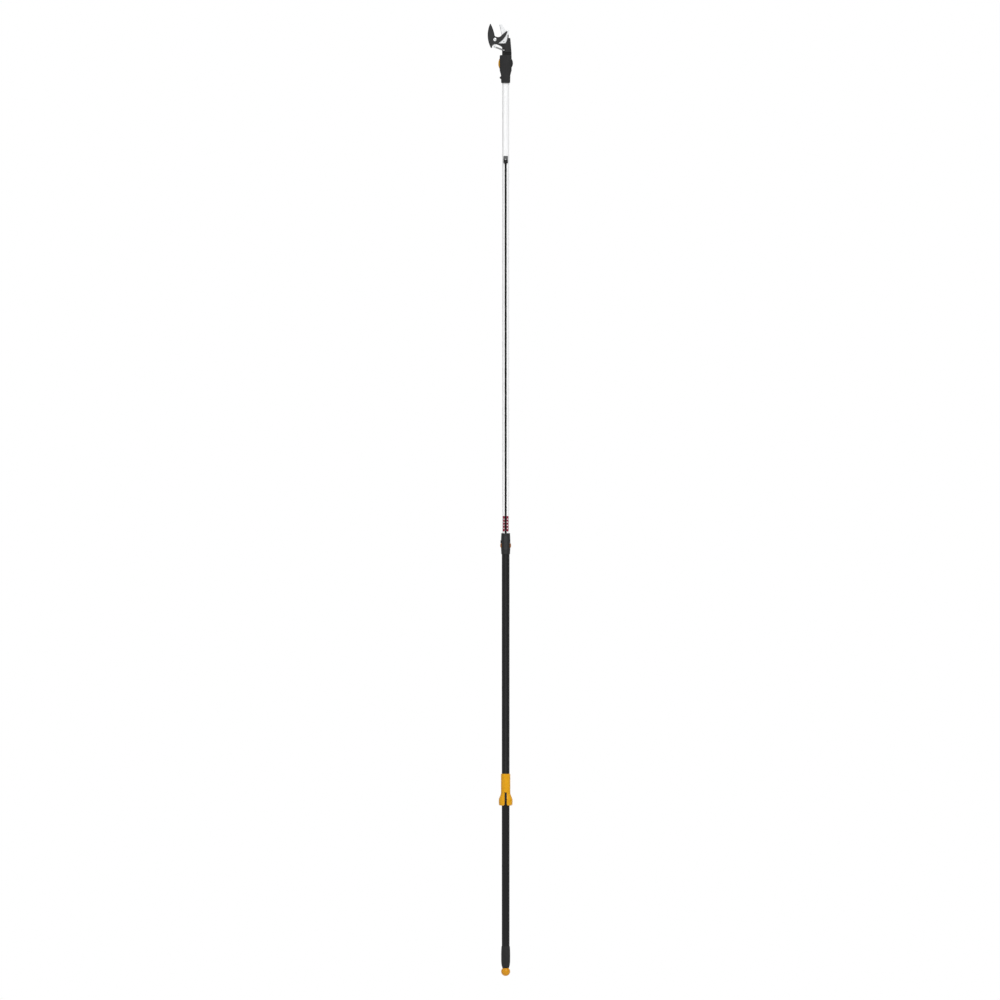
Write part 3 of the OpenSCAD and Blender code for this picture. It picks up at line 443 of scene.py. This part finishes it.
def drawn_tube(name, low, high, rough, metallic, lines, specular, flutes=0):
    """Drawn tube: long faint die lines, a satin grain and slow changes of tone; its flutes are painted dark
    as shade.
    """
    look = Look(name, metallic=metallic, specular=specular)
    die = look.noise(lines, (1, 1, 0.004), detail=5.0, rough=0.6)
    satin = look.noise(2200, (1, 1, 0.25), detail=2.0)
    cloud = look.noise(7, (1, 1, 0.4))
    body = look.ramp(look.blend(die, cloud, 0.65), low, high, 0.35, 0.65)
    if flutes:
        place = look.split()
        angle = look.math("ARCTAN2", place["Y"], place["X"])
        wave = look.math("COSINE", look.math("MULTIPLY", angle, flutes))
        # Painted shade: the bottoms of the flutes are painted near black.
        body = look.mix(look.spread(wave, 1.0, 0.0, -0.9, -0.78), body, GROOVE_SHADE)
    look.colour(body)
    look.roughness(look.spread(satin, rough - 0.06, rough + 0.08))
    look.bump(look.blend(die, satin, 0.6), 0.03 * MM, 0.4)
    return look.material


def webbing(name, low, high):
    """Woven webbing: warp yarns along it and picks across, each yarn crowned, with fine fuzz."""
    look = Look(name, sheen=0.02, specular=0.1)
    place = look.split("UV")
    wale = look.math("SINE", look.math("MULTIPLY", place["X"], math.pi / YARN_ACROSS))
    course = look.math("SINE", look.math("MULTIPLY", place["Y"], math.pi / YARN_ALONG))
    over = look.math("MULTIPLY", wale, course)
    crown = look.math("MULTIPLY", look.math("ABSOLUTE", wale), look.math("ABSOLUTE", course))
    yarn = look.math("MULTIPLY_ADD", over, 0.35, crown)
    fuzz = look.noise(5200, detail=3.0, coords="UV")
    height = look.math("MULTIPLY_ADD", fuzz, 0.3, yarn)
    look.colour(look.ramp(height, low, high, 0.05, 0.9))
    look.roughness(look.spread(fuzz, 0.75, 0.92))
    look.bump(height, 0.18 * MM, 0.8)
    return look.material


def braid(name, low, high):
    """Braided cord: two families of strands that cross on a slant."""
    look = Look(name, sheen=0.02, specular=0.1)
    place = look.split("UV")
    around = look.math("MULTIPLY", place["X"], 2 * CORD_STRANDS / CORD_DIAMETER)
    along = look.math("MULTIPLY", place["Y"], 2 * math.pi / CORD_PITCH)
    left = look.math("SINE", look.math("ADD", around, along))
    right = look.math("SINE", look.math("SUBTRACT", around, along))
    fuzz = look.noise(6000, detail=2.0, coords="UV")
    height = look.math("MULTIPLY_ADD", fuzz, 0.25, look.math("MULTIPLY", left, right))
    look.colour(look.ramp(height, low, high, 0.0, 0.9))
    look.roughness(look.spread(fuzz, 0.7, 0.9))
    look.bump(height, 0.2 * MM, 0.8)
    return look.material


def printed(name, low, high):
    """Screen-printed ink: slightly uneven, matt."""
    look = Look(name, specular=0.15)
    patch = look.noise(900, detail=3.0)
    look.colour(look.ramp(patch, low, high))
    look.roughness(look.spread(patch, 0.5, 0.65))
    look.bump(patch, 0.01 * MM, 0.3)
    return look.material


def guide_look(split_z):
    """Strap guide: grey plate above, black loop below."""
    look = Look("guide_plastic", specular=0.2)
    upper = look.math("GREATER_THAN", look.split()["Z"], split_z)
    flow = look.noise(70)
    black = look.ramp(flow, (0.005, 0.005, 0.0055), (0.009, 0.009, 0.0095))
    grey = look.ramp(flow, (0.1, 0.102, 0.105), (0.14, 0.142, 0.145))
    return moulded(look, look.mix(upper, black, grey), (0.2, 0.2, 0.2), 0.48)


def arm_look(recess_z):
    """The head arm's black plastic, painted darker in the recess below its shoulder as painted shade."""
    look = Look("arm_plastic", specular=0.2)
    flow = look.noise(FLOW_SCALE, FLOW_STRETCH)
    height = look.wander(look.split()["Z"], 160, 4 * MM)
    below = look.spread(height, 1.0, 0.0, recess_z - 1 * MM, recess_z + 2 * MM)
    base_black = look.ramp(flow, (0.014, 0.014, 0.0145), (0.021, 0.021, 0.0215))
    # Painted shade: the recess below the shoulder is painted near black.
    painted_shade = look.ramp(flow, (0.002, 0.002, 0.002), (0.005, 0.005, 0.005))
    return moulded(look, look.mix(below, base_black, painted_shade), RUBBED_BLACK, 0.5)


def collar_look(highlight_y):
    """The collar's front shell: black plastic, whose front-most band is painted paler as a painted
    highlight.
    """
    look = Look("collar_plastic", specular=0.2)
    flow = look.noise(FLOW_SCALE, FLOW_STRETCH)
    depth = look.wander(look.split()["Y"], 120, 3 * MM)
    lit_share = look.spread(depth, 1.0, 0.0, highlight_y - 1.5 * MM, highlight_y + 2.5 * MM)
    base_black = look.ramp(flow, (0.008, 0.008, 0.0085), (0.013, 0.013, 0.0135))
    # Painted highlight: the paler colour for the collar's front-most band.
    worn = look.ramp(flow, (0.026, 0.027, 0.028), (0.036, 0.037, 0.038))
    return moulded(look, look.mix(lit_share, base_black, worn), RUBBED_BLACK, 0.5)


def blade_look(edge_foot, edge_top):
    """Ground blade: bright flanks, and a darker strip along the cutting edge as painted shade."""
    look = Look("blade_steel", metallic=1.0)
    corner, normal = look.edges(STEEL_CORNER)
    place = look.split()
    run, rise = edge_top[0] - edge_foot[0], edge_top[1] - edge_foot[1]
    length = math.hypot(run, rise)
    x = look.math("MULTIPLY", look.math("SUBTRACT", place["X"], edge_foot[0]), rise / length)
    z = look.math("MULTIPLY", look.math("SUBTRACT", place["Z"], edge_foot[1]), -run / length)
    inset = look.wander(look.math("ADD", x, z), 240, 0.8 * MM)
    strip = look.spread(inset, 1.0, 0.0, 2.4 * MM, 3.4 * MM)
    above = look.spread(place["Z"], 0.0, 1.0, edge_foot[1] - 6 * MM, edge_foot[1])
    lines = look.noise(900, (0.08, 1, 1), detail=3.0)
    shade = look.blend(lines, look.noise(45), 0.5)
    flank = look.ramp(shade, (0.66, 0.67, 0.68), (0.79, 0.795, 0.8))
    # Painted shade: the darker steel for the strip along the cutting edge.
    bevel_shade = look.ramp(shade, (0.34, 0.345, 0.355), (0.46, 0.465, 0.475))
    body = look.mix(look.math("MULTIPLY", strip, above), flank, bevel_shade)
    # Corners painted paler as a painted highlight.
    look.colour(look.mix(look.math("MULTIPLY", corner, 0.5), body, BRIGHT_CORNER))
    look.roughness(look.spread(lines, 0.24, 0.4))
    look.bump(lines, 0.02 * MM, 0.4, normal)
    return look.material


EDGE_FOOT = (-18.5 * MM, TILT_Z + 122 * MM)
EDGE_TOP = (-26.2 * MM, TILT_Z + 159 * MM)
ARM_RECESS_Z = TILT_Z + 45 * MM
# How deep from the front the painted highlight on the collar reaches.
COLLAR_HIGHLIGHT_DEPTH = 1.5 * MM

LOOKS = {
    "black_tube": drawn_tube(
        "black_tube", (0.004, 0.004, 0.0045), (0.0085, 0.0085, 0.009), rough=0.42,
        metallic=0.0, lines=700, specular=0.17, flutes=8),
    "silver_tube": drawn_tube(
        "silver_tube", (0.92, 0.922, 0.925), (0.97, 0.972, 0.975), rough=0.34,
        metallic=0.15, lines=900, specular=0.2),
    "black_plastic": plastic(
        "black_plastic", (0.011, 0.011, 0.0115), (0.017, 0.017, 0.0175), RUBBED_BLACK,
        rough=0.5, specular=0.2),
    "grip_rubber": plastic(
        "grip_rubber", (0.0085, 0.0086, 0.009), (0.0135, 0.0136, 0.014), RUBBED_RUBBER,
        rough=0.68, grain=900, depth=0.16 * MM, scuff=0.15, specular=0.2, sheen=0.03),
    "amber_plastic": plastic(
        "amber_plastic", (0.625, 0.293, 0.003), (0.695, 0.334, 0.005), (0.77, 0.45, 0.1),
        rough=0.38, specular=0.2, subsurface=0.05),
    # The buttons' own orange, painted dim and brown: the dimness is painted shade.
    "orange_plastic": plastic(
        "orange_plastic", (0.25, 0.085, 0.015), (0.32, 0.11, 0.02), (0.42, 0.18, 0.05),
        rough=0.45, specular=0.2),
    "strap_fabric": webbing("strap_fabric", (0.003, 0.003, 0.0032), (0.011, 0.011, 0.0115)),
    "hook_steel": steel(
        "hook_steel", (0.024, 0.0245, 0.0255), (0.038, 0.0385, 0.0395), (0.22, 0.22, 0.225),
        rough=0.42, metallic=0.4, grain=700, specular=0.2),
    "blade_steel": blade_look(EDGE_FOOT, EDGE_TOP),
    "bright_steel": steel(
        "bright_steel", (0.62, 0.63, 0.64), (0.74, 0.745, 0.75), BRIGHT_CORNER, rough=0.28),
    "link_steel": steel(
        "link_steel", (0.2, 0.203, 0.208), (0.28, 0.283, 0.288), (0.5, 0.5, 0.5),
        rough=0.42, metallic=0.8, stretch=(0.1, 1, 1)),
    "bearing_plastic": plastic(
        "bearing_plastic", (0.008, 0.008, 0.0085), (0.013, 0.013, 0.0135), RUBBED_RUBBER,
        rough=0.4, specular=0.2),
    "pulley_plastic": plastic(
        "pulley_plastic", (0.62, 0.61, 0.57), (0.70, 0.69, 0.65), (0.8, 0.8, 0.78), rough=0.42),
}
# The lower strap is painted paler than the strap above, as a painted highlight down the front of the pole.
LOW_STRAP_HIGHLIGHT_LOOK = webbing("strap_lower_painted_highlight", (0.012, 0.012, 0.0125), (0.036, 0.036, 0.037))
CORD_LOOK = braid("pull_cord_braid", (0.010, 0.010, 0.011), (0.03, 0.03, 0.032))
INK_RED = printed("mark_red", (0.20, 0.018, 0.038), (0.27, 0.026, 0.052))
INK_PALE = printed("mark_pale", (0.80, 0.77, 0.77), (0.88, 0.85, 0.85))
BALL_LOOK = plastic(
    "ball_plastic", (0.51, 0.217, 0.002), (0.57, 0.243, 0.004), (0.65, 0.34, 0.07),
    rough=0.3, specular=0.2)
ARM_LOOK = arm_look(ARM_RECESS_Z)
guide_lo, guide_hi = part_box("strap_guide")
OWN_LOOKS = {  # nodes that don't take their slot's look
    "strap_guide": guide_look((guide_lo.z + guide_hi.z) / 2),
    "ball": BALL_LOOK,
    "collar_front": collar_look(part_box("collar_front")[0].y + COLLAR_HIGHLIGHT_DEPTH),
    "arm_front": ARM_LOOK,
    "arm_rear": ARM_LOOK,
    "spring_pin": LOOKS["link_steel"],
    "tail_pin": LOOKS["link_steel"],
}

for entry in frame["record"]["subparts"]:
    node = entry["node"]
    slots = frame["nodes"][node].data.materials
    slots.clear()
    slots.append(OWN_LOOKS.get(node, LOOKS[entry["material_slot"]]))


def dress(piece, body, slot, look, *nodes):
    piece.data.materials.append(look)
    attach(piece, body)
    if nodes:
        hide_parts(*nodes)


# Straps and cord

STRAP_WIDTH, STRAP_THICK = 8 * MM, 1.6 * MM
STRAP_BEND, STRAP_LEAD = 25 * MM, 8 * MM  # height of the bend into the guide, and how far below it starts
STRAP_BEND_STEPS = 16
STRAP_TWIST_STEPS = 80
STRAP_TWIST = -math.pi / 2


def make_strap():
    lo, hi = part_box("strap")
    lie = lo.y + STRAP_THICK / 2
    bend_foot = hi.z - STRAP_BEND - STRAP_LEAD
    route = straight((0, lie, lo.z), (0, lie, bend_foot), ROUTE_PITCH)
    for i in range(1, STRAP_BEND_STEPS + 1):
        t = i / STRAP_BEND_STEPS
        ease = t * t * (3 - 2 * t)
        route.append(Vector((0, lie * (1 - ease), bend_foot + t * (STRAP_BEND + STRAP_LEAD))))
    piece = sweep("strap_web", route, web_section(hi.x - lo.x, STRAP_THICK))
    dress(piece, "telescope", "strap_fabric", LOOKS["strap_fabric"], "strap")


def make_strap_lower():
    lo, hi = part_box("strap_lower")
    lie = (lo.y + hi.y) / 2
    route = straight((0, lie, lo.z), (0, lie, hi.z), ROUTE_PITCH)
    piece = sweep("strap_lower_web", route, web_section(hi.x - lo.x, hi.y - lo.y))
    piece.data.materials.append(LOW_STRAP_HIGHLIGHT_LOOK)
    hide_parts("strap_lower")
    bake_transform(piece)


def make_strap_inner():
    """The stretch inside the upper tube, which makes a quarter turn on its way to the head."""
    lo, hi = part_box("strap_inner")
    section = web_section(STRAP_WIDTH, STRAP_THICK, 4)
    bm = bmesh.new()
    uv = bm.loops.layers.uv.new("UVMap")
    rings, runs = [], []
    for i in range(STRAP_TWIST_STEPS + 1):
        share = i / STRAP_TWIST_STEPS
        c, s = math.cos(STRAP_TWIST * share), math.sin(STRAP_TWIST * share)
        runs.append((hi.z - lo.z) * share)
        z = lo.z + runs[-1]
        rings.append([bm.verts.new((a * c - b * s, a * s + b * c, z)) for a, b in section])
    skin(bm, rings, uv, [k * MM for k in range(len(section) + 1)], runs)
    cap(bm, rings)
    piece = add_mesh("strap_inner_web", bm, smooth=True)
    dress(piece, "telescope", "strap_fabric", LOOKS["strap_fabric"], "strap_inner")


def make_cord():
    lo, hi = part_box("pull_cord")
    route = straight((0, 0, lo.z), (0, 0, hi.z), ROUTE_PITCH)
    piece = sweep("pull_cord_braid", route, round_section((hi.x - lo.x) / 2))
    dress(piece, "pull_ball", "strap_fabric", CORD_LOOK, "pull_cord")


# Limit mark: a red panel on each side of the strap, with four plain pale squares

MARK_FOOT, MARK_TOP = 1.781, 1.846
MARK_NEAR, MARK_FAR = 4.2 * MM, 12.0 * MM
MARK_LIFT, MARK_FILM = 0.02 * MM, 0.05 * MM
MARK_STEPS = 31
SQUARE_NEAR, SQUARE_FAR, SQUARE_HEIGHT = 5.4 * MM, 9.2 * MM, 4.6 * MM
SQUARE_ROWS, SQUARE_PITCH = 4, 12.8 * MM


def make_marks():
    lo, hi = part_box("upper_tube")
    radius = (hi.x - lo.x) / 2 + MARK_LIFT
    heights = [MARK_FOOT]
    for i in range(SQUARE_ROWS):
        at = (MARK_FOOT + MARK_TOP) / 2 + SQUARE_PITCH * (i - (SQUARE_ROWS - 1) / 2)
        heights += [at - SQUARE_HEIGHT / 2, at + SQUARE_HEIGHT / 2]
    heights.append(MARK_TOP)
    width = MARK_FAR - MARK_NEAR
    columns = [MARK_NEAR + width * i / MARK_STEPS for i in range(MARK_STEPS + 1)]
    for side, word in ((-1, "left"), (1, "right")):
        bm = bmesh.new()
        grids = [
            [[bm.verts.new((side * x, -math.sqrt(r * r - x * x), z)) for x in columns] for z in heights]
            for r in (radius, radius + MARK_FILM)
        ]
        for grid in grids:
            for i, (low, high) in enumerate(zip(grid, grid[1:])):
                for k in range(MARK_STEPS):
                    face = bm.faces.new((low[k], low[k + 1], high[k + 1], high[k]))
                    middle = (columns[k] + columns[k + 1]) / 2
                    pale = i % 2 == 1 and SQUARE_NEAR < middle < SQUARE_FAR
                    face.material_index = 1 if pale else 0
        skin(bm, [
            grid[0] + [row[-1] for row in grid[1:]] + grid[-1][-2::-1] + [row[0] for row in grid[-2:0:-1]]
            for grid in grids
        ])
        piece = add_mesh("limit_mark_" + word, bm)
        dress(piece, "telescope", "silver_tube", INK_RED)
        piece.data.materials.append(INK_PALE)


# Fasteners, with recesses and threads

HEAD_PROFILE = (  # share of the head's radius and of its height
    (0.97, 0.0), (1.0, 0.06), (1.0, 0.42), (0.96, 0.66), (0.86, 0.86), (0.7, 0.97), (0.58, 1.0))
RECESS_PROFILE = ((0.46, 1.0), (0.43, 0.3))
TIP_SHARE, TIP_TOP_SHARE, ROOT_SHARE, NECK_SHARE = 0.8, 0.97, 0.88, 0.95  # of the shank's radius
TIP_HEIGHT, THREAD_START, THREAD_SPARE = 0.3 * MM, 0.4 * MM, 1.4 * MM
NECK_DEPTH, SEAT_DEPTH = 0.6 * MM, 0.05 * MM
ARM_SCREWS = ((14, 54), (-3, 74), (10, 74))  # x and height over the tilt axis, in mm
HOUSING_SCREWS = ((-16.7, -74), (16.7, -74), (16.7, -54))
SLIDER_SCREW_INSET = 3 * MM


def screw(bm, place, head_r, head_h, shank_r, shank_len, lobes=6, swing=0.14, pitch=0.9 * MM):
    """A screw with a domed head, a driver recess and a threaded shank; height 0 is under the head."""
    rings = [
        (circle(shank_r * TIP_SHARE), -shank_len),
        (circle(shank_r * TIP_TOP_SHARE), -shank_len + TIP_HEIGHT),
    ]
    for i in range(int((shank_len - THREAD_SPARE) / pitch)):
        h = -shank_len + THREAD_START + i * pitch
        rings += [(circle(shank_r * ROOT_SHARE), h + 0.1 * pitch), (circle(shank_r), h + 0.5 * pitch)]
    rings += [(circle(shank_r * NECK_SHARE), -NECK_DEPTH), (circle(shank_r), -SEAT_DEPTH)]
    rings += [(circle(head_r * share), head_h * rise) for share, rise in HEAD_PROFILE]
    rings += [(circle(head_r * share, lobes, swing), head_h * rise) for share, rise in RECESS_PROFILE]
    ring_stack(bm, rings, place)


def along_y(x, z, seat, side):
    """Places a screw's own axes on the model: its head looks to +Y or -Y from the seat."""
    return lambda a, b, h: (x + a, seat + side * h, z + b)


def make_screws(node, body, side, places, head_r, head_h, shank_r, **recess):
    """Recessed screws in place of a node's plain ones, at each x and z."""
    lo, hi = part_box(node)
    seat = hi.y - head_h if side > 0 else lo.y + head_h
    bm = bmesh.new()
    for x, z in places:
        screw(bm, along_y(x, z, seat, side), head_r, head_h, shank_r, hi.y - lo.y - head_h, **recess)
    piece = sharp_mesh(node + "_recessed", bm)
    dress(piece, body, "bright_steel", LOOKS["bright_steel"], node)


def centre(node):
    lo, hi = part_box(node)
    return (lo.x + hi.x) / 2, (lo.z + hi.z) / 2


def over_tilt(places):
    return [(x * MM, TILT_Z + z * MM) for x, z in places]


def make_fasteners():
    make_screws("arm_screws", "head", 1, over_tilt(ARM_SCREWS), 3.2 * MM, 2.4 * MM, 1.8 * MM)
    make_screws("housing_screws", "telescope", 1, over_tilt(HOUSING_SCREWS), 2.4 * MM, 2.2 * MM, 1.3 * MM)
    lo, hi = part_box("slider_screws")
    height = (lo.z + hi.z) / 2
    pair = [(lo.x + SLIDER_SCREW_INSET, height), (hi.x - SLIDER_SCREW_INSET, height)]
    make_screws("slider_screws", "slider", 1, pair, 3 * MM, 2.9 * MM, 1.6 * MM)
    make_screws("guide_screw", "telescope", -1, [centre("guide_screw")], 2.6 * MM, 4 * MM, 1.58 * MM,
                lobes=4, swing=0.3)
    make_screws("pivot_bolt", "head", -1, [centre("pivot_bolt")], 7 * MM, 3 * MM, 4 * MM, pitch=1.4 * MM)


# Collar: set screws with a hexagon socket, and the leaf spring behind the buttons

SET_SCREW_ANGLES = (55, 125)
SET_SCREW_RADIUS, SET_SCREW_FOOT, SET_SCREW_TOP = 2 * MM, 16.55 * MM, 18.6 * MM
SOCKET_RADIUS, SOCKET_DEPTH, SOCKET_SIDES, SOCKET_SWING = 1.15 * MM, 1.2 * MM, 6, 0.07
LEAF_THICK, LEAF_RELIEF, LEAF_GAP, LEAF_STEPS = 0.35 * MM, 0.44 * MM, 10 * MM, 60


def make_set_screws():
    lo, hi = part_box("collar_screws")
    height, length = (lo.z + hi.z) / 2, SET_SCREW_TOP - SET_SCREW_FOOT
    rings = [
        (circle(SET_SCREW_RADIUS * 0.85), 0.0),
        (circle(SET_SCREW_RADIUS), 0.25 * MM),
        (circle(SET_SCREW_RADIUS), length - 0.2 * MM),
        (circle(SET_SCREW_RADIUS * 0.9), length),
        (circle(SOCKET_RADIUS, SOCKET_SIDES, SOCKET_SWING), length),
        (circle(SOCKET_RADIUS * 0.95, SOCKET_SIDES, SOCKET_SWING), length - SOCKET_DEPTH),
    ]
    bm = bmesh.new()
    for degrees in SET_SCREW_ANGLES:
        c, s = math.cos(math.radians(degrees)), math.sin(math.radians(degrees))

        def outward(a, b, h):
            out = SET_SCREW_FOOT + h
            return out * c - a * s, out * s + a * c, height + b

        ring_stack(bm, rings, outward)
    piece = sharp_mesh("collar_screws_socket", bm)
    dress(piece, "pole", "bright_steel", LOOKS["bright_steel"], "collar_screws")


def make_leaf_spring():
    """Two halves of the open ring, each flattened by its own button."""
    lo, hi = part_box("button_spring")
    radius = (hi.x - lo.x) / 2
    first, last = -math.pi / 2, math.acos(LEAF_GAP / 2 / radius)
    for side, word in ((-1, "left"), (1, "right")):
        bm = bmesh.new()
        rings = []
        for i in range(LEAF_STEPS + 1):
            a = first + (last - first) * i / LEAF_STEPS
            out = radius - LEAF_RELIEF * math.sin(2 * a) ** 2
            corners = ((out, lo.z), (out, hi.z), (out - LEAF_THICK, hi.z), (out - LEAF_THICK, lo.z))
            rings.append([bm.verts.new((side * q * math.cos(a), q * math.sin(a), z)) for q, z in corners])
        skin(bm, rings)
        cap(bm, rings)
        piece = sharp_mesh("button_spring_" + word, bm)
        dress(piece, "pole", "bright_steel", LOOKS["bright_steel"], "button_spring")
        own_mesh(piece)


# Return spring: round wire, whose coil turns smoothly from the blade's leg to the arm's leg

PIVOT_X, PIVOT_Z = -45 * MM, TILT_Z + 99 * MM
SPRING_WIRE, SPRING_RADIUS = 0.8 * MM, 8 * MM
SPRING_TURNS, SPRING_TURN_STEPS, SPRING_START = 3, 40, -12
PIN_LEG_X, PIN_LEG_Z = -11.5 * MM, TILT_Z + 94 * MM
ARM_LEG_X, ARM_LEG_Z = -15.2 * MM, TILT_Z + 71 * MM
LEG_PITCH = 2 * MM


def make_spring():
    lo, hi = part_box("return_spring")
    first_y, last_y = lo.y + SPRING_WIRE, hi.y - SPRING_WIRE
    count = SPRING_TURNS * SPRING_TURN_STEPS
    coil = []
    for i in range(count + 1):
        a = math.radians(SPRING_START - 360 * i / SPRING_TURN_STEPS)
        y = first_y + (last_y - first_y) * i / count
        x, z = PIVOT_X + SPRING_RADIUS * math.cos(a), PIVOT_Z + SPRING_RADIUS * math.sin(a)
        coil.append(Vector((x, y, z)))
    pin_leg = straight((PIN_LEG_X, first_y, PIN_LEG_Z), coil[0], LEG_PITCH)
    arm_leg = straight(coil[-1], (ARM_LEG_X, last_y, ARM_LEG_Z), LEG_PITCH)
    route = pin_leg[:-1] + coil + arm_leg[1:]
    piece = sweep("return_spring_wire", route, round_section(SPRING_WIRE), across=(0, 1, 0))
    piece.data.materials.append(LOOKS["bright_steel"])
    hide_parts("return_spring")
    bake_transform(piece)


make_camera()
make_world()
for sun in SUNS:
    make_sun(*sun)
make_floor()
make_strap()
make_strap_lower()
make_strap_inner()
make_cord()
make_marks()
make_fasteners()
make_set_screws()
make_leaf_spring()
make_spring()

scene.view_settings.view_transform = "Standard"
